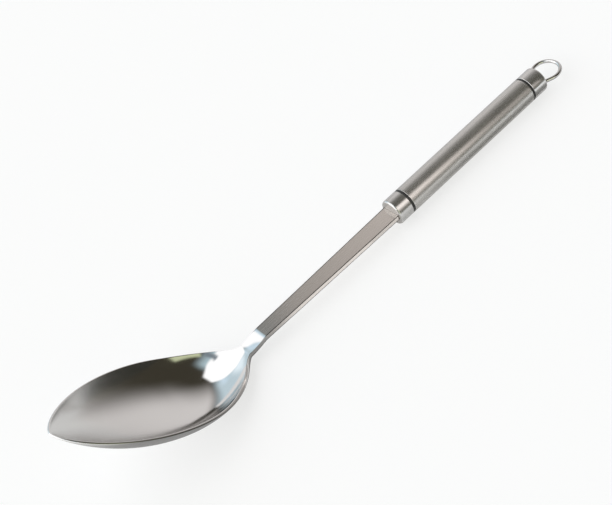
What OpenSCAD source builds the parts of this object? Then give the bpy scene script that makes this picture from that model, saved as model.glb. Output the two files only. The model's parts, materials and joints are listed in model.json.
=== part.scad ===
// Serving spoon: a pressed steel bowl on a flat shank, held in a round hollow handle with a hanging loop.
// Millimetres. The spoon lies on a table at z = 0, with +Y along the handle, away from the bowl.

/* [Bowl] */
// Width of the bowl, rim to rim
bowl_w = 63.5; // [48:0.5:80]
// Length of the bowl's oval, along its rim
bowl_len = 121.5; // [90:0.5:140]
// Depth of the bowl below its rim
bowl_depth = 17.1; // [8:0.1:22]
// Angle that the rim rises above the line of the handle
bowl_angle = 31.3; // [15:0.1:40]
// Thickness of the sheet in the bowl
bowl_t = 1.2; // [0.8:0.1:2.4]
// Length over which the sheet thins, from the crease
taper_len = 75; // [30:1:110]
// Form of the bowl's wall: 1 is a plain parabola, as at the neck, and less has a flatter bottom and steeper sides
wall_form = 0.35; // [0:0.05:1]
// Length from the neck over which the wall takes that form
form_len = 45; // [20:1:80]
// How pointed the oval is at the tip, and at the neck
oval_tip = 0.69; // [0.55:0.01:0.9]
oval_neck = 0.78; // [0.6:0.01:1]
// How fast the bowl deepens as it widens, from the tip and from the neck
depth_tip = 1.45; // [1:0.05:1.8]
depth_neck = 1.1; // [1:0.05:1.8]

/* [Neck] */
// Length of the neck, from the crease at the shank to the start of the oval
neck_len = 13.2; // [8:0.2:30]
// Distance that the rim stays level past the start of the oval
rim_level = 19.8; // [6:0.1:24]
// Drop of the neck below the line of the shank
neck_dip = 2.2; // [0:0.1:3]
// Length over which the neck drops
neck_bend = 11; // [4:0.5:16]
// Depth of the hollow that runs out of the bowl into the neck
neck_hollow = 0.7; // [0:0.1:1]
// Fillet between the neck and the oval, seen from above
neck_blend = 6.2; // [4:0.1:14]
// Fillet between the level neck and the rising rim, seen from the side
rim_blend = 15.4; // [4:0.1:20]

/* [Shank] */
// Length of the shank that shows, from the ferrule to the crease
shank_len = 100; // [60:1:140]
// Width of the shank at the ferrule
shank_w_back = 12; // [8:0.2:13]
// Width of the shank at the crease
shank_w_front = 9; // [6:0.2:12]
// Thickness of the shank
shank_t = 2.7; // [2.4:0.1:3.5]
// Rounding of the sheet's edges
edge_r = 0.4; // [0.1:0.05:0.6]

/* [Tang] */
// Depth of the ferrule's pocket that takes the end of the shank
pocket_depth = 5; // [3:0.5:7]
// Width of the tang behind the shank's shoulders
tang_w = 8; // [6:0.2:9]
// Thickness of the tang
tang_t = 2; // [1.4:0.1:2.4]
// Diameter of the cross pin
pin_d = 3; // [2:0.1:4]
// Gap between the ends of the pin and the bore of the tube
pin_end_gap = 0.3; // [0.1:0.1:1]

/* [Handle] */
// Outside diameter of the handle
handle_d = 16; // [15:0.5:20]
// Length of the tube
tube_len = 100.5; // [60:0.5:160]
// Wall of the tube
tube_wall = 0.8; // [0.6:0.1:1.2]
// Length of the ferrule that shows
ferrule_len = 9.7; // [8:0.1:16]
// Rounding of the ferrule's front edge
ferrule_round = 2; // [0.5:0.1:3]
// Length of the cap that shows
cap_len = 10.8; // [8:0.1:16]
// Rounding of the cap's rear edge
cap_round = 1.4; // [0.4:0.1:2]
// Length of the spigots in the tube
spigot_len = 14; // [10:0.5:24]
// Width of the black rings
ring_w = 1.3; // [0.8:0.1:2.5]
// Depth of the black rings below the surface of the handle
ring_sink = 0.15; // [0.05:0.05:0.3]

/* [Hanging loop] */
// Radius of the loop's round end, to the middle of the wire
loop_r = 8.3; // [7.6:0.1:12]
// Diameter of the wire
wire_d = 2.2; // [1.6:0.1:2.4]
// Distance between the loop's legs, middle to middle
leg_gap = 12; // [8:0.1:12.4]
// Lean of the loop's sides towards the legs
loop_lean = 24; // [20:1:34]
// Radius of the bend from the sides into the legs
leg_bend = 3; // [2:0.1:4]
// Depth of the legs in the cap
leg_depth = 6; // [4:0.5:9]

/* [Fits] */
// Radial gap of the spigots, the rings, the pin and the legs
fit_gap = 0.05; // [0.02:0.01:0.1]
// Gap all round the shank in the ferrule's pocket, and round the tang
slot_gap = 0.1; // [0.05:0.05:0.3]

/* [Hidden] */
$fn = 64;
steel = [0.74, 0.73, 0.71];
brushed = [0.66, 0.64, 0.61];
black = [0.08, 0.08, 0.08];

// Places along the handle, from the front face of the ferrule
front_ring_y = ferrule_len;
tube_y = front_ring_y + ring_w;
rear_ring_y = tube_y + tube_len;
cap_y = rear_ring_y + ring_w;
cap_end_y = cap_y + cap_len;
spigot_d = handle_d - 2 * tube_wall - 2 * fit_gap;
pin_y = tube_y + spigot_len / 2;
spigot_end_y = tube_y + spigot_len;

// The loop's sides run straight from its round end to the bends above the legs
side_len = (loop_r * cos(loop_lean) - leg_bend * (1 - cos(loop_lean)) - leg_gap / 2) / sin(loop_lean);
loop_rise = (loop_r + leg_bend) * sin(loop_lean) + side_len * cos(loop_lean);
loop_y = cap_end_y + loop_rise;
loop_end_y = loop_y + loop_r + wire_d / 2;

// The blade is worked out from the crease: run is the level distance from there towards the tip
half_run = bowl_len / 2 * cos(bowl_angle);
mid_run = neck_len + half_run;
bowl_half = bowl_w / 2;
neck_half = shank_w_front / 2;
back_run = -shank_len - pocket_depth;
rise_run = neck_len + rim_level;
// Distance from the crease at which the neck's hollow starts
hollow_run = 2;
// Distance past the oval's start at which the sections begin to follow the oval
oval_entry = 3;
entry_run = neck_len + oval_entry;
// Small step for taking slopes
step = 0.02;
// Length by which cuts run past a face, and by which joined bodies overlap
overlap = 1;

function mix(p, q, f) = p + (q - p) * f;
function ease(f) = let (c = min(1, max(0, f))) c * c * (3 - 2 * c);
function blend_max(p, q, k) = let (h = max(k - abs(p - q), 0) / k) max(p, q) + h * h * k / 4;
function unit(v) = v / norm(v);

// Half width of the oval, counted negative beyond its ends so that the neck's fillet can fade out
function oval(run) =
    let (t = (run - mid_run) / half_run, g = 1 - t * t)
    sign(g) * pow(abs(g), run < mid_run ? oval_neck : oval_tip) * bowl_half;
function half_width(run) =
    run <= 0 ? mix(neck_half, shank_w_back / 2, min(1, -run / shank_len))
    : run < mid_run ? blend_max(neck_half, oval(run), neck_blend)
    : oval(run);

// Height of the rim line above the line of the shank, and its slope
function rim_height(run) =
    run <= 0 ? 0
    : blend_max(-neck_dip * (1 - exp(-run / neck_bend)), tan(bowl_angle) * (run - rise_run), rim_blend);
function rim_slope(run) = atan2(rim_height(run + step) - rim_height(run - step), 2 * step);

function fullness(run) =
    run <= 0 ? 0
    : run < mid_run ? (half_width(run) - neck_half) / (bowl_half - neck_half)
    : oval(run) / bowl_half;
function hollow(run) =
    let (start = (run - hollow_run) / neck_len)
    neck_hollow * ease(start) * (1 - ease(start - 1));
function depth(run) =
    bowl_depth * pow(max(0, fullness(run)), run < mid_run ? depth_neck : depth_tip) + hollow(run);
function sheet_t(run) = mix(shank_t, bowl_t, ease(run / taper_len));

// A point of the sheet's middle surface: across goes from -1 at one edge to 1 at the other
function sheet(run, across) =
    let (form = mix(1, wall_form, ease((run - neck_len) / form_len)),
         drop = depth(run) * (1 - mix(pow(across, 4), pow(across, 2), form)),
         slope = rim_slope(run))
    [half_width(run) * across, -shank_len - run - drop * sin(slope), rim_height(run) - drop * cos(slope)];
function along_sheet(run, across) = sheet(run + step, across) - sheet(run - step, across);
function across_sheet(run, across) = sheet(run, across + step) - sheet(run, across - step);
function sheet_up(run, across) = unit(cross(across_sheet(run, across), -along_sheet(run, across)));

// Stations along the blade, and strips across each: an odd number leaves a flat strip under the belly
neck_steps = 12;
bowl_steps = 46;
across_steps = 19;
crease_w = 0.5;
first_turn = acos((mid_run - entry_run) / half_run);
last_turn = 176;
runs = concat(
    [back_run, -shank_len / 2, -crease_w],
    [for (i = [0 : neck_steps - 1]) entry_run * i / neck_steps],
    [for (i = [0 : bowl_steps]) mid_run - half_run * cos(mix(first_turn, last_turn, i / bowl_steps))]);

// One closed section of the sheet: its long edges are rounded by no more than a share of the outer strips
// and of the sheet's thickness
strip_share = 0.6;
edge_share = 0.4;
function edge_inset(run) =
    min(edge_r, sheet_t(run) * edge_share,
        norm(sheet(run, 1) - sheet(run, 1 - 2 / across_steps)) * strip_share);
function face_row(run, side) = [
    for (j = [0 : across_steps])
        let (u = -1 + 2 * j / across_steps,
             inset = edge_inset(run),
             inward = j == 0 ? 1 : j == across_steps ? -1 : 0)
        sheet(run, u) + side * sheet_up(run, u) * sheet_t(run) / 2
            + inward * inset * unit(across_sheet(run, u))];
function edge_point(run, across, side) =
    sheet(run, across) + side * sheet_up(run, across) * (sheet_t(run) / 2 - edge_inset(run));
function reversed(list) = [for (i = [len(list) - 1 : -1 : 0]) list[i]];
function section(run) = concat(
    face_row(run, 1),
    [edge_point(run, 1, 1), edge_point(run, 1, -1)],
    reversed(face_row(run, -1)),
    [edge_point(run, -1, -1), edge_point(run, -1, 1)]);

sections = [for (run = runs) section(run)];
section_size = len(sections[0]);
last_section = len(runs) - 1;
function middle(points) = [for (k = [0 : 2]) [for (p = points) p[k]] * [for (p = points) 1 / len(points)]];
blade_points = concat(
    [for (s = sections) each s],
    [middle(sections[0]), middle(sections[last_section])]);

// Faces of a closed skin over count rings of size points each, with a middle point at each end
function tube_faces(count, size) =
    let (at = function (i, j) i * size + j % size)
    concat(
        [for (i = [0 : count - 2], j = [0 : size - 1], half = [0, 1])
            half == 0
                ? [at(i, j), at(i + 1, j + 1), at(i + 1, j)]
                : [at(i, j), at(i, j + 1), at(i + 1, j + 1)]],
        [for (j = [0 : size - 1]) [count * size, at(0, j + 1), at(0, j)]],
        [for (j = [0 : size - 1]) [count * size + 1, at(count - 1, j), at(count - 1, j + 1)]]);

// The wire's route in the plane of the loop, as places with headings: up one leg, round, and down the other
wire_sides = 20;
bend_steps = 5;
round_steps = 48;
leg_route = concat(
    [[leg_gap / 2, -loop_rise - leg_depth, 90]],
    [for (i = [0 : bend_steps])
        let (turn = 180 - loop_lean * i / bend_steps)
        [leg_gap / 2 + leg_bend * (1 + cos(turn)), -loop_rise + leg_bend * sin(turn), turn - 90]]);
round_route = [
    for (i = [0 : round_steps])
        let (turn = mix(-loop_lean, 180 + loop_lean, i / round_steps))
        [loop_r * cos(turn), loop_r * sin(turn), turn + 90]];
wire_route = concat(
    leg_route,
    round_route,
    [for (stop = reversed(leg_route)) [-stop[0], stop[1], -stop[2]]]);
wire_points = concat(
    [for (stop = wire_route, i = [0 : wire_sides - 1])
        let (turn = 360 * i / wire_sides, out = wire_d / 2 * cos(turn))
        [stop[0] + out * sin(stop[2]), stop[1] - out * cos(stop[2]), wire_d / 2 * sin(turn)]],
    [[leg_gap / 2, -loop_rise - leg_depth, 0], [-leg_gap / 2, -loop_rise - leg_depth, 0]]);

// The spoon rests on its belly and its handle, with its whole length centred on the origin
axis_z = max(handle_d / 2, -min([for (p = blade_points) p[2]]));
tip_y = min([for (p = blade_points) p[1]]);
centre_y = (tip_y + loop_end_y) / 2;

module placed() {
    translate([0, -centre_y, axis_z])
        children();
}

module along_handle(y) {
    translate([0, y, 0])
        rotate([-90, 0, 0])
            children();
}

// Half outline of a round body from height 0 to length, with its lower outer edge rounded
module rounded_outline(radius, length, edge) {
    translate([0, edge])
        square([radius, length - edge]);
    square([radius - edge, length]);
    translate([radius - edge, edge])
        circle(r = edge);
}

// Hole for the pin, straight down through the handle's axis
module pin_hole() {
    translate([0, pin_y, 0])
        cylinder(d = pin_d + 2 * fit_gap, h = handle_d * 2, center = true);
}

module black_ring(y) {
    along_handle(y)
        difference() {
            cylinder(d = handle_d - 2 * ring_sink, h = ring_w);
            translate([0, 0, -overlap])
                cylinder(d = spigot_d + 2 * fit_gap, h = ring_w + 2 * overlap);
        }
}

// Bowl, neck, shank and tang: one pressing, whose tang is narrowed behind two shoulders
module spoon_blade() {
    color(steel)
        placed() {
            polyhedron(blade_points, tube_faces(len(runs), section_size), convexity = 6);
            difference() {
                translate([-tang_w / 2, pocket_depth - overlap, -tang_t / 2])
                    cube([tang_w, spigot_end_y - pocket_depth + overlap, tang_t]);
                pin_hole();
            }
        }
}

// Front end of the handle: the shank's shoulders seat in its pocket and the tang runs through its spigot
module front_ferrule() {
    color(steel)
        placed()
            difference() {
                union() {
                    along_handle(0)
                        rotate_extrude()
                            rounded_outline(handle_d / 2, ferrule_len, ferrule_round);
                    along_handle(front_ring_y)
                        cylinder(d = spigot_d, h = ring_w + spigot_len);
                }
                translate([-shank_w_back / 2 - slot_gap, -overlap, -shank_t / 2 - slot_gap])
                    cube([shank_w_back + 2 * slot_gap, pocket_depth + overlap, shank_t + 2 * slot_gap]);
                translate([-tang_w / 2 - slot_gap, -overlap, -tang_t / 2 - slot_gap])
                    cube([tang_w + 2 * slot_gap, spigot_end_y + 2 * overlap, tang_t + 2 * slot_gap]);
                pin_hole();
            }
}

module tang_pin() {
    color(steel)
        placed()
            translate([0, pin_y, 0])
                cylinder(d = pin_d, h = handle_d - 2 * tube_wall - 2 * pin_end_gap, center = true);
}

module front_ring() {
    color(black)
        placed()
            black_ring(front_ring_y);
}

module handle_tube() {
    color(brushed)
        placed()
            along_handle(tube_y)
                difference() {
                    cylinder(d = handle_d, h = tube_len);
                    translate([0, 0, -overlap])
                        cylinder(d = handle_d - 2 * tube_wall, h = tube_len + 2 * overlap);
                }
}

module rear_ring() {
    color(black)
        placed()
            black_ring(rear_ring_y);
}

// Rear end of the handle: a spigot in the tube and two blind holes for the loop's legs
module end_cap() {
    color(steel)
        placed()
            difference() {
                union() {
                    translate([0, cap_end_y, 0])
                        rotate([90, 0, 0])
                            rotate_extrude()
                                rounded_outline(handle_d / 2, cap_len, cap_round);
                    along_handle(rear_ring_y - spigot_len)
                        cylinder(d = spigot_d, h = spigot_len + ring_w + cap_len / 2);
                }
                for (side = [-1, 1])
                    translate([side * leg_gap / 2, 0, 0])
                        along_handle(cap_end_y - leg_depth)
                            cylinder(d = wire_d + 2 * fit_gap, h = leg_depth + overlap);
            }
}

// Bent wire: a round end, two leaning sides, and two straight legs in the cap
module hanging_loop() {
    color(steel)
        placed()
            translate([0, loop_y, 0])
                polyhedron(wire_points, tube_faces(len(wire_route), wire_sides), convexity = 4);
}

spoon_blade();
front_ferrule();
tang_pin();
front_ring();
handle_tube();
rear_ring();
end_cap();
hanging_loop();
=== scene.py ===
import json
import math

import bmesh
import bpy
import numpy as np
from mathutils import Matrix, Vector

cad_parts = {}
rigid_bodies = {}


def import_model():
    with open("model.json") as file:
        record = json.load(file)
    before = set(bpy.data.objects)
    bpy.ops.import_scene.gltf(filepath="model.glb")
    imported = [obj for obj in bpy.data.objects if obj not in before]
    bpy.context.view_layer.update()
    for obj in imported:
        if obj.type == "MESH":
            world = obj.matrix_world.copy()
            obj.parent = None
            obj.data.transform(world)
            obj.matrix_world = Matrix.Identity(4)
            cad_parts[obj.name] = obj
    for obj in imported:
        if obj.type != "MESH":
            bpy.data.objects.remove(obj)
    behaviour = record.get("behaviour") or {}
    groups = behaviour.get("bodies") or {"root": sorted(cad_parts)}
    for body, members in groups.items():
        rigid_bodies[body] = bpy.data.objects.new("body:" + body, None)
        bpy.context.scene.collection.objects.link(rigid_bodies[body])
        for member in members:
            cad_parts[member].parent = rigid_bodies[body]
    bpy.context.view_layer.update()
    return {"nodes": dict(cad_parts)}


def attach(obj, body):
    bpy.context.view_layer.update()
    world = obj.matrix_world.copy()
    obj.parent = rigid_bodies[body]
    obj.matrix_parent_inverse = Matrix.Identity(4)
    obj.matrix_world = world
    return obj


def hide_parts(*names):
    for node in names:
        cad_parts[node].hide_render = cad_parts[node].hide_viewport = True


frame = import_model()

MM = 0.001

# ---------------------------------------------------------------- sizes in mm
# They follow part.scad. Some are refined from the photograph: the bowl's depth, the neck, the rings and the edges.
bowl_w, bowl_len, bowl_depth, bowl_angle, bowl_t = 63.5, 121.5, 16.4, 31.3, 1.2
oval_tip, oval_neck, depth_tip, depth_neck = 0.69, 0.78, 1.45, 1.2
wall_form, form_len, taper_len = 0.35, 45.0, 75.0
neck_len, rim_level, neck_dip, neck_bend, crease_bend = 13.2, 19.8, 2.4, 9.5, 1.2
neck_blend, rim_blend, neck_hollow, hollow_run = 6.2, 12.5, 0.4, 2.0
shank_len, shank_w_back, shank_w_front, shank_t = 100.0, 12.0, 9.0, 2.7
pocket_depth, tang_w, tang_t, tang_lap, tang_bevel = 5.0, 8.0, 2.0, 0.2, 0.2
handle_d, tube_len, tube_wall = 15.996, 100.16, 0.8
ferrule_len, ferrule_round = 9.53, 1.2
cap_len, cap_round, spigot_len, spigot_chamfer = 10.63, 1.4, 14.0, 0.4
ring_w, ring_sink, ring_edge, ring_crown = 1.64, 0.06, 0.1, 0.03
loop_r, wire_d, leg_gap, loop_lean, leg_bend, leg_depth = 8.3, 2.2, 12.0, 24.0, 3.0, 6.0
fit_gap, slot_gap = 0.05, 0.1
slot_bevel, tang_cut_bevel, cut_past = 0.15, 0.1, 2.0
handle_bevel = 0.12
edge_r = 0.4
rim_back = 0.11
axis_z = 8.0
ferrule_y = 38.457

ferrule_back_y = ferrule_y + ferrule_len
tube_y = ferrule_back_y + ring_w
rear_ring_y = tube_y + tube_len
cap_y = rear_ring_y + ring_w
cap_end_y = cap_y + cap_len
crease_y = ferrule_y - shank_len
handle_r = handle_d / 2
spigot_r = (handle_d - 2 * tube_wall - 2 * fit_gap) / 2

half_run = bowl_len / 2 * math.cos(math.radians(bowl_angle))
mid_run = neck_len + half_run
bowl_half = bowl_w / 2
neck_half = shank_w_front / 2
rise_run = neck_len + rim_level

# how finely the meshes are divided
ACROSS = 34
TIP = 120
SIDES = 128
HOLE_SIDES = 40
WIRE_SIDES = 32
FLOOR_SIDES = 64
SMOOTH_ANGLE = 35
RING_SMOOTH_ANGLE = 50


# ---------------------------------------------------------------- meshes
def finish_mesh(bm, name, angle=SMOOTH_ANGLE):
    mesh = bpy.data.meshes.new(name)
    bm.to_mesh(mesh)
    bm.free()
    obj = bpy.data.objects.new(name, mesh)
    bpy.context.scene.collection.objects.link(obj)
    shade(obj, angle)
    return obj


def shade(obj, angle=SMOOTH_ANGLE):
    for other in bpy.context.view_layer.objects:
        other.select_set(False)
    obj.select_set(True)
    bpy.context.view_layer.objects.active = obj
    bpy.ops.object.shade_smooth_by_angle(angle=math.radians(angle))


def circle(bm, y, r, sides, x=0.0):
    """A ring of vertices round a line along Y, at the height of the handle's axis."""
    turns = [math.tau * k / sides for k in range(sides)]
    return [bm.verts.new(((x + r * math.cos(a)) * MM, y * MM, (axis_z + r * math.sin(a)) * MM)) for a in turns]


def skin(bm, rings, closed=False, ends=False):
    """Joins each ring of vertices to the next. A ring may be a single vertex. closed joins the last to the first."""
    pairs = list(zip(rings, rings[1:])) + ([(rings[-1], rings[0])] if closed else [])
    for a, b in pairs:
        sides = max(len(a), len(b))
        for k in range(sides):
            after = (k + 1) % sides
            quad = [a[k % len(a)], a[after % len(a)], b[after % len(b)], b[k % len(b)]]
            bm.faces.new(list(dict.fromkeys(quad)))
    if ends:
        bm.faces.new(rings[0])
        bm.faces.new(rings[-1])
    bmesh.ops.recalc_face_normals(bm, faces=bm.faces)


def add_block(bm, low, high, bevel, segments):
    verts = bmesh.ops.create_cube(bm, size=1.0)["verts"]
    for v in verts:
        v.co = Vector([((a + b) / 2 + c * (b - a)) * MM for a, b, c in zip(low, high, v.co)])
    edges = dict.fromkeys(e for v in verts for e in v.link_edges)
    bmesh.ops.bevel(bm, geom=list(edges), offset=bevel * MM, segments=segments, affect="EDGES")


def block(low, high, name, bevel):
    bm = bmesh.new()
    add_block(bm, low, high, bevel, 3)
    return finish_mesh(bm, name)


def rod(x, y0, y1, r, name):
    bm = bmesh.new()
    skin(bm, [circle(bm, y, r, HOLE_SIDES, x) for y in (y0, y1)], ends=True)
    return finish_mesh(bm, name)


def lathe(profile, name, closed=False, angle=SMOOTH_ANGLE):
    """Turns a list of (radius, y) in mm about the handle's axis. A radius of 0 closes onto the axis."""
    bm = bmesh.new()
    skin(bm, [circle(bm, y, r, SIDES if r else 1) for r, y in profile], closed)
    return finish_mesh(bm, name, angle)


def arc(cx, cy, r, start, end, steps):
    turns = [math.radians(start + (end - start) * i / steps) for i in range(steps + 1)]
    return [(cx + r * math.cos(a), cy + r * math.sin(a)) for a in turns]


def cut(obj, cutters):
    """Cuts the cutters out of obj, applies the result and removes them."""
    for cutter in cutters:
        mod = obj.modifiers.new("cut", "BOOLEAN")
        mod.operation = "DIFFERENCE"
        mod.solver = "EXACT"
        mod.object = cutter
    bpy.context.view_layer.update()
    graph = bpy.context.evaluated_depsgraph_get()
    mesh = bpy.data.meshes.new_from_object(obj.evaluated_get(graph))
    obj.modifiers.clear()
    old = obj.data
    obj.data = mesh
    bpy.data.meshes.remove(old)
    for cutter in cutters:
        mesh = cutter.data
        bpy.data.objects.remove(cutter)
        bpy.data.meshes.remove(mesh)
    shade(obj)


# ---------------------------------------------------------------- the blade's surface
# A run is a distance in mm from the crease between shank and neck: less than 0 in the shank, more in the neck and bowl.
def ease(f):
    c = np.clip(f, 0, 1)
    return c * c * (3 - 2 * c)


def blend_max(p, q, k):
    h = np.maximum(k - np.abs(p - q), 0) / k
    return np.maximum(p, q) + h * h * k / 4


def unit(v):
    return v / np.linalg.norm(v, axis=-1, keepdims=True)


def oval(run):
    t = (run - mid_run) / half_run
    g = 1 - t * t
    return np.sign(g) * np.abs(g) ** np.where(run < mid_run, oval_neck, oval_tip) * bowl_half


def half_width(run):
    back = neck_half + (shank_w_back / 2 - neck_half) * np.clip(-run / shank_len, 0, 1)
    neck = blend_max(neck_half, oval(run), neck_blend)
    return np.where(run <= 0, back, np.where(run < mid_run, neck, np.maximum(oval(run), 0)))


def rim_height(run):
    r = np.maximum(run, 0)
    r = r - crease_bend * (1 - np.exp(-r / crease_bend))
    dip = -neck_dip * (1 - np.exp(-r / neck_bend))
    rise = math.tan(math.radians(bowl_angle)) * (run - rise_run)
    return np.where(run <= 0, 0.0, blend_max(dip, rise, rim_blend))


def rim_slope(run, step=0.02):
    return np.arctan2(rim_height(run + step) - rim_height(run - step), 2 * step)


def fullness(run):
    neck = (half_width(run) - neck_half) / (bowl_half - neck_half)
    return np.where(run <= 0, 0.0, np.where(run < mid_run, neck, np.maximum(oval(run), 0) / bowl_half))


def hollow(run):
    start = (run - hollow_run) / neck_len
    return neck_hollow * ease(start) * (1 - ease(start - 1))


def depth(run):
    full = np.maximum(0, fullness(run)) ** np.where(run < mid_run, depth_neck, depth_tip)
    return bowl_depth * full + hollow(run)


def sheet_t(run):
    return shank_t + (bowl_t - shank_t) * ease(run / taper_len)


def sheet(run, share):
    """A point of the sheet's middle surface. share is its place across, from -1 to 1, as a part of the half width."""
    x = half_width(run) * share
    form = 1 + (wall_form - 1) * ease((run - neck_len) / form_len)
    drop = depth(run) * (1 - form * share ** 2 - (1 - form) * share ** 4)
    slope = rim_slope(run)
    y = -shank_len - run - drop * np.sin(slope)
    z = rim_height(run) - drop * np.cos(slope)
    return np.stack([x, y + ferrule_y, z + axis_z], -1)


# ---------------------------------------------------------------- the blade's grid
# the runs lie closer together at the crease, and the bowl's are even in angle
bowl_start = neck_len + 3
shank_runs = [*np.linspace(-shank_len - pocket_depth, -4, 18), -2, -1, -0.5, -0.25, -0.12, -0.05]
neck_runs = [0.05, 0.12, 0.25, 0.5, 1.0, *np.linspace(1.6, bowl_start, 26)]
first_turn = math.acos((mid_run - bowl_start) / half_run)
bowl_runs = mid_run - half_run * np.cos(np.linspace(first_turn, math.pi / 2, 44)[1:])
runs = np.concatenate([shank_runs, neck_runs, bowl_runs])

# from the spine to the rim, closer together at the rim
RIM_CROWD = 1.2
shares = np.sin(RIM_CROWD * np.linspace(0, 1, ACROSS + 1)) / math.sin(RIM_CROWD)

# half a turn round the tip, from the left side to the right, closer together at the tip
TIP_CROWD = 0.12
tip_parts = np.linspace(0, 1, TIP + 1)
tip_turns = math.pi * (tip_parts + TIP_CROWD * np.sin(math.tau * tip_parts) / math.tau)


def outline_columns():
    """The runs and shares of the grid: each column goes from the spine to the rim, and the columns go round the rim."""
    columns = [(np.full(ACROSS + 1, run), -shares) for run in runs]
    for turn in tip_turns[1:-1]:
        ahead, side = math.sin(turn), -math.cos(turn)
        run = mid_run + half_run * ahead * shares
        x = bowl_half * math.copysign(abs(side) ** (2 * oval_tip), side) * shares
        share = np.clip(x / np.maximum(oval(run), 1e-9), -1, 1)
        share[-1] = math.copysign(1, side) if abs(side) > 1e-6 else 0.0
        columns.append((run, share))
    columns += [(np.full(ACROSS + 1, run), shares) for run in runs[::-1]]
    return np.array([c[0] for c in columns]), np.array([c[1] for c in columns])


def blade_grid():
    """The grid's points, its normals, turned up, and the sheet's thickness there."""
    R, S = outline_columns()
    P = sheet(R, S)
    N = np.cross(np.gradient(P, axis=0), np.gradient(P, axis=1))
    # the spine is shared: its normals come from the middle of the sheet
    spine, step = R[:, 0], 0.05
    middle = np.zeros_like(spine)
    along = sheet(spine + step, middle) - sheet(spine - step, middle)
    across = sheet(spine, middle + step) - sheet(spine, middle - step)
    N[:, 0] = np.cross(across, -along)
    N = unit(N)
    N[np.einsum("ijk,k->ij", N, [0, 0.3, 1.0]) < -0.2] *= -1
    return P, N, sheet_t(R)


def build_blade():
    P, N, T = blade_grid()
    cols, rows = P.shape[:2]
    out = unit(np.cross(N[:, -1], unit(np.gradient(P[:, -1], axis=0))))
    out[np.einsum("ij,ij->i", out, P[:, -1] - P[:, -3]) < 0] *= -1
    # the rim stays a hair inside the solid's faceted rim
    P[:, -1] -= out * rim_back
    bm = bmesh.new()

    def add(p):
        return bm.verts.new(Vector([float(c) * MM for c in p]))

    def face_point(i, j, side):
        p = P[i, j] + side * N[i, j] * T[i, j] / 2
        return add(p - out[i] * edge_r if j == rows - 1 else p)

    def spine_column(i):
        """The left and the right columns meet on the spine, and the tip's columns in one point of it."""
        if i < len(runs):
            return i
        return len(runs) - 1 if i < len(runs) + TIP - 1 else cols - 1 - i

    def face_grid(side):
        grid, spine = [], {}
        for i in range(cols):
            key = spine_column(i)
            if key not in spine:
                spine[key] = face_point(key, 0, side)
            grid.append([spine[key]] + [face_point(i, j, side) for j in range(1, rows)])
        for a, b in zip(grid, grid[1:]):
            for j in range(rows - 1):
                quad = list(dict.fromkeys([a[j], b[j], b[j + 1], a[j + 1]]))
                bm.faces.new(quad[::side])
        return grid

    def rim_row(side, turn):
        back, drop = 1 - math.sin(turn), 1 - math.cos(turn)
        return [add(P[i, -1] - out[i] * edge_r * back + side * N[i, -1] * (T[i, -1] / 2 - edge_r * drop))
                for i in range(cols)]

    top, under = face_grid(1), face_grid(-1)
    # the rounded rim, from the upper face to the lower one
    turns = np.linspace(0, math.pi / 2, 5)[1:]
    rim = [rim_row(1, turn) for turn in turns] + [rim_row(-1, turn) for turn in turns[::-1]]
    bands = [[c[-1] for c in top], *rim, [c[-1] for c in under]]
    for a, b in zip(bands, bands[1:]):
        for i in range(cols - 1):
            bm.faces.new([a[i], a[i + 1], b[i + 1], b[i]])
    # the shank's back end, inside the ferrule
    bm.faces.new(top[0][::-1] + top[-1][1:] + [r[-1] for r in rim]
                 + under[-1][::-1] + under[0][1:] + [r[0] for r in rim[::-1]])
    bmesh.ops.recalc_face_normals(bm, faces=bm.faces)
    # the tang, with its edges broken
    add_block(bm, (-tang_w / 2, ferrule_y + pocket_depth - tang_lap, axis_z - tang_t / 2),
              (tang_w / 2, tube_y + spigot_len, axis_z + tang_t / 2), tang_bevel, 2)
    return finish_mesh(bm, "blade")


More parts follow.
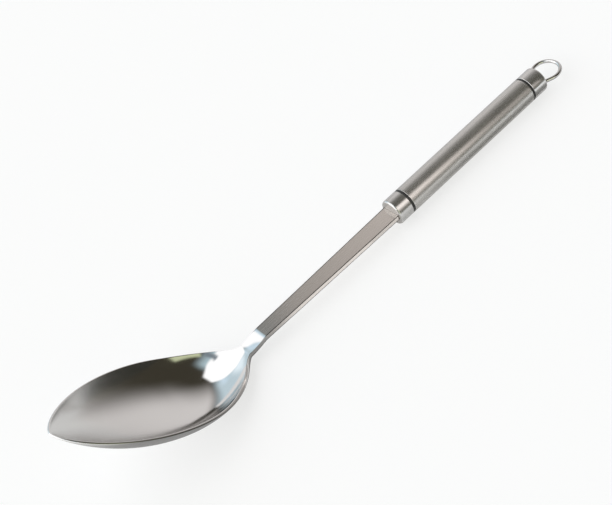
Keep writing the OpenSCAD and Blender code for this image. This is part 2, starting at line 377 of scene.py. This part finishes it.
# ---------------------------------------------------------------- the handle and the loop
def build_handle():
    r = handle_r
    face_rings = (0, 2, 4)
    spigot_front, spigot_back = rear_ring_y - spigot_len, tube_y + spigot_len
    ferrule = lathe(
        [(f, ferrule_y) for f in face_rings]
        + arc(r - ferrule_round, ferrule_y + ferrule_round, ferrule_round, -90, 0, 24)
        + [(r, ferrule_y + ferrule_len * 0.6), (r, ferrule_back_y - handle_bevel),
           (r - handle_bevel, ferrule_back_y), (spigot_r, ferrule_back_y), (spigot_r, spigot_back - spigot_chamfer),
           (spigot_r - spigot_chamfer, spigot_back), (0, spigot_back)],
        "ferrule")
    slot_w, slot_h = shank_w_back / 2 + slot_gap, shank_t / 2 + slot_gap
    hole_w, hole_h = tang_w / 2 + slot_gap, tang_t / 2 + slot_gap
    cut(ferrule, [
        block((-slot_w, ferrule_y - cut_past, axis_z - slot_h),
              (slot_w, ferrule_y + pocket_depth, axis_z + slot_h), "slot_cut", slot_bevel),
        block((-hole_w, ferrule_y - cut_past, axis_z - hole_h),
              (hole_w, spigot_back + cut_past, axis_z + hole_h), "tang_cut", tang_cut_bevel)])
    tube = lathe(
        arc(r - handle_bevel, tube_y + handle_bevel, handle_bevel, -90, 0, 4)
        + [(r, tube_y + 1), (r, tube_y + tube_len / 2), (r, rear_ring_y - 1)]
        + arc(r - handle_bevel, rear_ring_y - handle_bevel, handle_bevel, 0, 90, 4)
        + [(r - tube_wall, rear_ring_y), (r - tube_wall, tube_y)],
        "tube", True)
    rings = []
    for name, y in (("front_band", ferrule_back_y), ("rear_band", rear_ring_y)):
        outer, inner, end = r - ring_sink, spigot_r + fit_gap, y + ring_w
        rings.append(lathe(
            [(inner, y), (outer - ring_edge, y), (outer - ring_crown, y + ring_edge), (outer, y + ring_w / 2),
             (outer - ring_crown, end - ring_edge), (outer - ring_edge, end), (inner, end)],
            name, True, RING_SMOOTH_ANGLE))
    cap = lathe(
        [(0, spigot_front), (spigot_r - spigot_chamfer, spigot_front), (spigot_r, spigot_front + spigot_chamfer),
         (spigot_r, cap_y), (r - handle_bevel, cap_y), (r, cap_y + handle_bevel), (r, cap_y + cap_len * 0.5)]
        + arc(r - cap_round, cap_end_y - cap_round, cap_round, 0, 90, 14)
        + [(f, cap_end_y) for f in face_rings[::-1]],
        "cap")
    cut(cap, [rod(s * leg_gap / 2, cap_end_y - leg_depth, cap_end_y + cut_past, wire_d / 2 + fit_gap, "leg_cut")
              for s in (-1, 1)])
    return ferrule, tube, rings, cap


def build_loop():
    """A wire along a route of (x, y, heading in degrees): up one leg, round the loop and down the other leg."""
    lean = math.radians(loop_lean)
    side = (loop_r * math.cos(lean) - leg_bend * (1 - math.cos(lean)) - leg_gap / 2) / math.sin(lean)
    rise = (loop_r + leg_bend) * math.sin(lean) + side * math.cos(lean)
    leg = [(leg_gap / 2, -rise - leg_depth, 90.0), (leg_gap / 2, -rise - 1.0, 90.0)]
    leg += [(x, y, turn - 90) for (x, y), turn in zip(
        arc(leg_gap / 2 + leg_bend, -rise, leg_bend, 180, 180 - loop_lean, 10), np.linspace(180, 180 - loop_lean, 11))]
    route = leg + [(x, y, turn + 90) for (x, y), turn in zip(
        arc(0, 0, loop_r, -loop_lean, 180 + loop_lean, 96), np.linspace(-loop_lean, 180 + loop_lean, 97))]
    route += [(-x, y, -heading) for x, y, heading in leg[::-1]]
    bm = bmesh.new()
    rings = []
    for x, y, heading in route:
        c, s = math.cos(math.radians(heading)), math.sin(math.radians(heading))
        ring = []
        for k in range(WIRE_SIDES):
            a = math.tau * k / WIRE_SIDES
            off = wire_d / 2 * math.cos(a)
            ring.append(bm.verts.new(((x + off * s) * MM, (cap_end_y + rise + y - off * c) * MM,
                                      (axis_z + wire_d / 2 * math.sin(a)) * MM)))
        rings.append(ring)
    skin(bm, rings, ends=True)
    return finish_mesh(bm, "loop")


# ---------------------------------------------------------------- materials
class Nodes:
    """Short ways to add nodes to a tree."""

    def __init__(self, tree):
        self.tree = tree

    def add(self, kind, **props):
        node = self.tree.nodes.new(kind)
        for key, value in props.items():
            setattr(node, key, value)
        return node

    def put(self, socket, value):
        if isinstance(value, bpy.types.NodeSocket):
            self.tree.links.new(value, socket)
        elif value is not None:
            socket.default_value = value

    def math(self, op, a, b=None, c=None):
        node = self.add("ShaderNodeMath", operation=op)
        for socket, value in zip(node.inputs, (a, b, c)):
            self.put(socket, value)
        return node.outputs[0]

    def ramp(self, value, lo, hi, out_lo=0.0, out_hi=1.0):
        node = self.add("ShaderNodeMapRange", interpolation_type="SMOOTHSTEP")
        for socket, item in zip(node.inputs, (value, lo, hi, out_lo, out_hi)):
            self.put(socket, item)
        return node.outputs[0]

    def vary(self, noise, lo, hi):
        """Spreads the middle of a noise's range from lo to hi."""
        return self.ramp(noise, 0.3, 0.7, lo, hi)

    def noise(self, vector, scale, detail=3.0, rough=0.5):
        node = self.add("ShaderNodeTexNoise")
        self.put(node.inputs["Vector"], vector)
        node.inputs["Scale"].default_value = scale
        node.inputs["Detail"].default_value = detail
        node.inputs["Roughness"].default_value = rough
        return node.outputs[0]

    def stretched_noise(self, vector, scale, detail, rough):
        node = self.add("ShaderNodeMapping")
        self.put(node.inputs["Vector"], vector)
        node.inputs["Scale"].default_value = scale
        return self.noise(node.outputs[0], 1.0, detail, rough)

    def sum(self, a, share_a, b, share_b):
        return self.math("ADD", self.math("MULTIPLY", a, share_a), self.math("MULTIPLY", b, share_b))

    def mix(self, factor, a, b):
        node = self.add("ShaderNodeMix", data_type="RGBA")
        self.put(node.inputs[0], factor)
        self.put(node.inputs[6], a)
        self.put(node.inputs[7], b)
        return node.outputs[2]

    def axes(self, vector):
        node = self.add("ShaderNodeSeparateXYZ")
        self.put(node.inputs[0], vector)
        return node.outputs

    def bump(self, shader, height, strength):
        node = self.add("ShaderNodeBump")
        node.inputs["Distance"].default_value = 0.1 * MM
        self.put(node.inputs["Strength"], strength)
        self.put(node.inputs["Height"], height)
        self.put(shader.inputs["Normal"], node.outputs[0])

    def brush(self, shader, amount):
        """Brushed lengthwise: the gloss spreads around the handle and across the shank."""
        self.put(shader.inputs["Anisotropic"], amount)
        tangent = self.add("ShaderNodeTangent", direction_type="RADIAL", axis="Y")
        self.put(shader.inputs["Tangent"], tangent.outputs[0])


def material(name):
    m = bpy.data.materials.new(name)
    m.use_nodes = True
    n = Nodes(m.node_tree)
    shader = m.node_tree.nodes["Principled BSDF"]
    where = n.add("ShaderNodeTexCoord").outputs["Object"]
    return m, n, shader, where


def matt(shader, colour, roughness):
    shader.inputs["Base Color"].default_value = (*colour, 1)
    shader.inputs["Roughness"].default_value = roughness
    shader.inputs["Specular IOR Level"].default_value = 0.0


ROUGH_SPREAD = 0.03
RAW_COLOUR, RAW_ROUGH = (0.44, 0.425, 0.41, 1), 0.25


def steel(name, colour, dull, rough, grain, bump, brushed=0.0, scatter=0.0, raw_face=None):
    """Steel whose colour, gloss and surface vary with fine grain lines stretched by the grain scale.

    scatter is the share of light that the satin finish throws in all directions. raw_face is the place along
    the handle, in mm, in front of which the steel is unpolished."""
    m, n, shader, where = material(name)
    shader.inputs["Metallic"].default_value = 1.0 - scatter
    shader.inputs["Specular Tint"].default_value = (0.6, 0.6, 0.6, 1)
    lines = n.stretched_noise(where, grain, 4.0, 0.6)
    cloud = n.noise(where, 60.0)
    paint = n.mix(cloud, (*dull, 1), (*colour, 1))
    gloss = n.vary(n.sum(lines, 0.6, cloud, 0.4), rough - ROUGH_SPREAD, rough + ROUGH_SPREAD)
    if raw_face is not None:
        raw = n.ramp(n.axes(where)[1], (raw_face + 0.1) * MM, (raw_face + 0.5) * MM, 1.0, 0.0)
        paint = n.mix(raw, paint, RAW_COLOUR)
        gloss = n.math("MULTIPLY_ADD", raw, RAW_ROUGH, gloss)
    n.put(shader.inputs["Base Color"], paint)
    n.put(shader.inputs["Roughness"], gloss)
    n.brush(shader, brushed)
    n.bump(shader, lines, bump)
    return m


def blade_steel():
    """Mirror polish in the bowl and neck, a satin grain along the shank: the change is at the crease."""
    m, n, shader, where = material("blade_steel")
    shader.inputs["Metallic"].default_value = 1.0
    y = n.axes(where)[1]
    satin = n.ramp(y, (crease_y - 0.6) * MM, (crease_y + 0.6) * MM)
    grain = n.stretched_noise(where, (6500.0, 160.0, 6500.0), 4.0, 0.6)
    wipe = n.stretched_noise(where, (900.0, 260.0, 900.0), 3.0, 0.5)
    cloud = n.noise(where, 40.0)
    polish = n.vary(n.sum(wipe, 0.4, cloud, 0.6), 0.06, 0.10)
    # the front half of the bowl is duller, from use
    polish = n.math("ADD", polish, n.ramp(y, -150 * MM, -95 * MM, 0.17, 0.0))
    gloss = n.add("ShaderNodeMix", data_type="FLOAT")
    n.put(gloss.inputs[0], satin)
    n.put(gloss.inputs[2], polish)
    n.put(gloss.inputs[3], n.vary(grain, 0.22, 0.28))
    n.put(shader.inputs["Roughness"], gloss.outputs[0])
    bright = n.mix(cloud, (0.585, 0.575, 0.565, 1), (0.615, 0.605, 0.595, 1))
    # painted shade: the shank's colour is darker at the crease and a little brighter away from it, mixed with its real
    # grain tone
    painted_crease_shade_fade = n.ramp(y, crease_y * MM, (crease_y + 27) * MM)
    satin_grain_and_crease_shade = n.mix(grain, n.mix(painted_crease_shade_fade, (0.61, 0.58, 0.555, 1), (0.80, 0.745, 0.70, 1)),
                 n.mix(painted_crease_shade_fade, (0.67, 0.64, 0.61, 1), (0.86, 0.80, 0.755, 1)))
    n.put(shader.inputs["Base Color"], n.mix(satin, bright, satin_grain_and_crease_shade))
    n.brush(shader, n.ramp(satin, 0.0, 1.0, 0.0, 0.9))
    n.bump(shader, grain, n.ramp(satin, 0.0, 1.0, 0.01, 0.06))
    return m


def rubber():
    m, n, shader, where = material("black_ring")
    fine = n.noise(where, 4000.0, 3.0, 0.6)
    cloud = n.noise(where, 300.0)
    n.put(shader.inputs["Base Color"], n.mix(cloud, (0.012, 0.012, 0.012, 1), (0.022, 0.021, 0.020, 1)))
    n.put(shader.inputs["Roughness"], n.vary(fine, 0.42, 0.58))
    n.bump(shader, fine, 0.15)
    return m


# ---------------------------------------------------------------- room, floor, camera and cards
def world():
    """A dark room with a pale backdrop, some sky, a window and large soft lights overhead and in front."""
    w = bpy.data.worlds.new("studio")
    bpy.context.scene.world = w
    w.use_nodes = True
    n = Nodes(w.node_tree)
    back = w.node_tree.nodes["Background"]
    x, y, z = n.axes(n.add("ShaderNodeTexCoord").outputs["Generated"])
    az = n.math("DEGREES", n.math("ARCTAN2", x, n.math("MULTIPLY", y, -1.0)))
    el = n.math("DEGREES", n.math("ARCSINE", z))
    up = n.math("MAXIMUM", z, 0.05)
    u, v = n.math("DIVIDE", x, up), n.math("DIVIDE", y, up)

    def both(a, b):
        return n.math("MULTIPLY", a, b)

    def band(value, edges, soft):
        rise = n.ramp(value, edges[0] - soft[0] / 2, edges[0] + soft[0] / 2)
        return both(rise, n.ramp(value, edges[1] - soft[1] / 2, edges[1] + soft[1] / 2, 1.0, 0.0))

    def patch(az_edges, az_soft, el_edges, el_soft, slant=0.0):
        """An area between two azimuths and two elevations, in degrees. slant tilts its upper edge."""
        middle, half = sum(az_edges) / 2, (az_edges[1] - az_edges[0]) / 2
        off = n.math("WRAP", n.math("SUBTRACT", az, middle), 180.0, -180.0)
        height = n.math("ADD", el, both(off, slant)) if slant else el
        return both(band(off, (-half, half), az_soft), band(height, el_edges, el_soft))

    def ceiling(low, *edges):
        """A flat light overhead: its edges are straight in the plane one unit up, where u goes right and v back.

        Each edge is (share of u, share of v, from, to), and the light fades between from and to."""
        weight = n.ramp(el, *low)
        for of_u, of_v, start, end in edges:
            weight = both(weight, n.ramp(n.sum(u, of_u, v, of_v), start, end, 1.0, 0.0))
        return weight

    # an elevation under all that is seen, for areas without a lower edge
    down = -200.0
    total = (0.066, 0.059, 0.043, 1)
    for weight, radiance in [
            # a little light along the right horizon
            (patch((60, 170), (30, 30), (down, 10), (10, 24)), (0.14, 0.13, 0.093)),
            # the pale backdrop behind the handle
            (patch((178, 252), (80, 16), (down, 48), (10, 48)), (0.97, 0.94, 0.93)),
            # sky on the left, brighter beside the soft light and in front
            (patch((-103, -20), (14, 30), (down, 58), (10, 30)), (0.80, 0.98, 1.08)),
            (patch((-93, -20), (12, 30), (38, 58), (14, 30)), (0.98, 1.22, 1.42)),
            (patch((-79, -20), (12, 30), (down, 58), (10, 30)), (1.28, 1.46, 1.58)),
            # the soft light's bluish surround
            (ceiling((30, 50), (0, 1, -0.2, 0.02), (-1, 0, 1.2, 2.0), (1, 0.4, 0.12, 0.6)), (0.63, 0.82, 0.90)),
            # the soft light overhead: rear, left and right edges, then two corners
            (ceiling((8, 20), (0.12, 1, 0.055, 0.115), (-1, 0.9, 0.76, 0.96), (1, 0.4, 0.05, 0.17),
                     (1, 1.1, -0.08, 0.02), (-1, 1.58, 0.70, 0.86)), (1.72, 1.74, 1.77)),
            # the front light, low and behind the camera's left
            (patch((-46, 42), (16, 16), (4, 33), (8, 10)), (3.2, 3.2, 3.2)),
            # a dark stand beside the soft light
            (patch((18, 50), (8, 8), (56.5, 65), (6, 6), 0.4), (0.29, 0.35, 0.40)),
            # the window
            (patch((58, 97), (6, 6), (down, 49), (10, 6), 0.37), (0.84, 0.91, 0.60)),
    ]:
        total = n.mix(weight, total, (*radiance, 1))
    n.put(back.inputs["Color"], total)
    back.inputs["Strength"].default_value = 1.0


def floor():
    inner, outer, below = 0.5, 30.0, 0.1 * MM
    white_share = 0.7
    bm = bmesh.new()
    turns = [math.tau * k / FLOOR_SIDES for k in range(FLOOR_SIDES)]
    rings = [[bm.verts.new((r * math.cos(a), r * math.sin(a), 0)) for a in turns] for r in (inner, outer)]
    bm.faces.new(rings[0])
    skin(bm, rings)
    obj = finish_mesh(bm, "floor")
    obj.location.z = -below
    m, n, shader, _ = material("floor_paper")
    matt(shader, (0.96, 0.96, 0.96), 0.9)
    # seen directly or in metal, the paper is mostly plain white, with part of the object's shadow
    path = n.add("ShaderNodeLightPath")
    seen = n.math("MAXIMUM", path.outputs["Is Camera Ray"], path.outputs["Is Glossy Ray"])
    seen = n.math("MAXIMUM", seen, path.outputs["Is Transmission Ray"])
    white = n.add("ShaderNodeEmission")
    white.inputs["Strength"].default_value = 1.0
    shown = n.add("ShaderNodeMixShader")
    n.put(shown.inputs[0], n.math("MULTIPLY", seen, white_share))
    n.put(shown.inputs[1], shader.outputs[0])
    n.put(shown.inputs[2], white.outputs[0])
    n.put(m.node_tree.nodes["Material Output"].inputs["Surface"], shown.outputs[0])
    obj.data.materials.append(m)


def camera():
    """The camera fitted to the photograph. The focal length is in pixels of the photograph, as wide as photo_w."""
    focal, photo_w, sensor_w = 1200, 612, 36.0
    right = (0.6364201, 0.70808845, -0.30590882)
    up = (-0.41041351, 0.64664882, 0.6429666)
    back = (0.6530928, -0.28364776, 0.70214938)
    cam = bpy.data.cameras.new("photo_camera")
    obj = bpy.data.objects.new("photo_camera", cam)
    bpy.context.scene.collection.objects.link(obj)
    turn = Matrix((right, up, back)).transposed().to_4x4()
    turn.translation = Vector((413.35, -198.09, 475.98)) * MM
    obj.matrix_world = turn
    cam.sensor_fit = "HORIZONTAL"
    cam.sensor_width = sensor_w
    cam.lens = sensor_w * focal / photo_w
    cam.clip_start = 0.01
    cam.clip_end = 100.0
    bpy.context.scene.camera = obj


def card(name, corners, fades, glow=None):
    """A card that only the metal sees, dark or glowing: a painted reflection, or a painted shadow on the table as the
    metal mirrors it.

    Each fade is (axis, from, to) in mm, over which the card sets in, or has the two strengths there as well."""
    bm = bmesh.new()
    bm.faces.new([bm.verts.new(Vector(c) * MM) for c in corners])
    obj = finish_mesh(bm, name)
    m, n, shader, where = material(name)
    matt(shader, (0.05, 0.048, 0.040), 1.0)
    if glow:
        shader.inputs["Emission Color"].default_value = (*glow, 1)
        shader.inputs["Emission Strength"].default_value = 1.0
    place = n.axes(where)
    alpha = None
    for axis, start, end, *strengths in fades:
        weight = n.ramp(place["XYZ".index(axis)], start * MM, end * MM, *strengths)
        alpha = weight if alpha is None else n.math("MULTIPLY", weight, alpha)
    n.put(shader.inputs["Alpha"], alpha)
    obj.data.materials.append(m)
    obj.visible_camera = obj.visible_diffuse = obj.visible_shadow = False


def flat(x0, x1, y0, y1, z):
    return [(x0, y0, z), (x1, y0, z), (x1, y1, z), (x0, y1, z)]


bpy.context.scene.view_settings.view_transform = "Standard"
world()
floor()
camera()
# painted reflection: a dark card right of the bowl, seen only in the metal, so that its far wall mirrors dark like the
# room and not the floor
card("bowl_dark_reflection", [(36, -220, 0.5), (36, 60, 0.5), (64, 60, 60), (64, -220, 60)],
     [("Y", -210, -120), ("Y", -50, 50, 1.0, 0.0), ("Z", 0, 20)])
# under the bowl, where the bowl darkens the table
card("bowl_shade", flat(-50, 90, -210, -30, 0.4),
     [("X", 30, 85, 0.6, 0.0), ("X", -50, -30), ("Y", -205, -170), ("Y", -70, -30, 1.0, 0.0)])
# painted reflection: a dark card seen only in the metal, so that behind on the right the table mirrors dark, as if it
# ended
card("painted_dark_table_end", flat(60, 4000, 20, 4000, 0.5), [("X", 70, 170, 0.0, 0.9), ("Y", 40, 150)])
# along the handle's right side, where the handle darkens the table
card("handle_flag", flat(9, 60, 20, 178, 0.4),
     [("X", 15, 36, 0.7, 0.0), ("Y", 40, 110, 0.3, 1.0), ("Y", 165, 178, 1.0, 0.0)])
# painted reflection: a glowing card seen only in the metal, a bright strip of table beside the handle's end
card("painted_bright_table_strip", flat(36, 62, 80, 240, 0.6),
     [("X", 36, 45), ("X", 52, 62, 1.0, 0.0), ("Y", 100, 170)], (1.75, 1.85, 1.90))
# painted reflection: a glowing card seen only in the metal, the warm streak along the handle, fading toward the loop
card("painted_warm_streak", [(20, 40, 10), (40, 180, 10), (40, 180, 60), (20, 40, 60)],
     [("Z", 12, 28), ("Z", 29, 58, 1.0, 0.0), ("Y", 50, 150, 1.0, 0.35)], (1.7, 1.58, 1.52))

# ---------------------------------------------------------------- the spoon
polished = steel("polished_steel", (0.62, 0.61, 0.60), (0.56, 0.55, 0.54), 0.18, (300.0, 2600.0, 300.0), 0.01,
                 brushed=0.4, scatter=0.14, raw_face=ferrule_y)
satin_tube = steel("tube_steel", (0.60, 0.585, 0.565), (0.54, 0.525, 0.51), 0.27, (2600.0, 120.0, 2600.0), 0.02,
                   brushed=0.6, scatter=0.16)
wire = steel("wire_steel", (0.64, 0.63, 0.62), (0.56, 0.55, 0.54), 0.14, (900.0, 900.0, 900.0), 0.02)
sheet_steel = blade_steel()
black = rubber()

blade = build_blade()
ferrule, tube, bands, cap = build_handle()
loop = build_loop()

for piece, look, node, slot in [
        (blade, sheet_steel, "spoon_blade", "blade_steel"), (ferrule, polished, "front_ferrule", "polished_steel"),
        (tube, satin_tube, "handle_tube", "tube_steel"), (bands[0], black, "front_ring", "black_ring"),
        (bands[1], black, "rear_ring", "black_ring"), (cap, polished, "end_cap", "polished_steel"),
        (loop, wire, "hanging_loop", "wire_steel")]:
    piece.data.materials.append(look)
    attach(piece, "root")
    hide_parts(node)

pin = frame["nodes"]["tang_pin"]
pin.data.materials.clear()
pin.data.materials.append(polished)
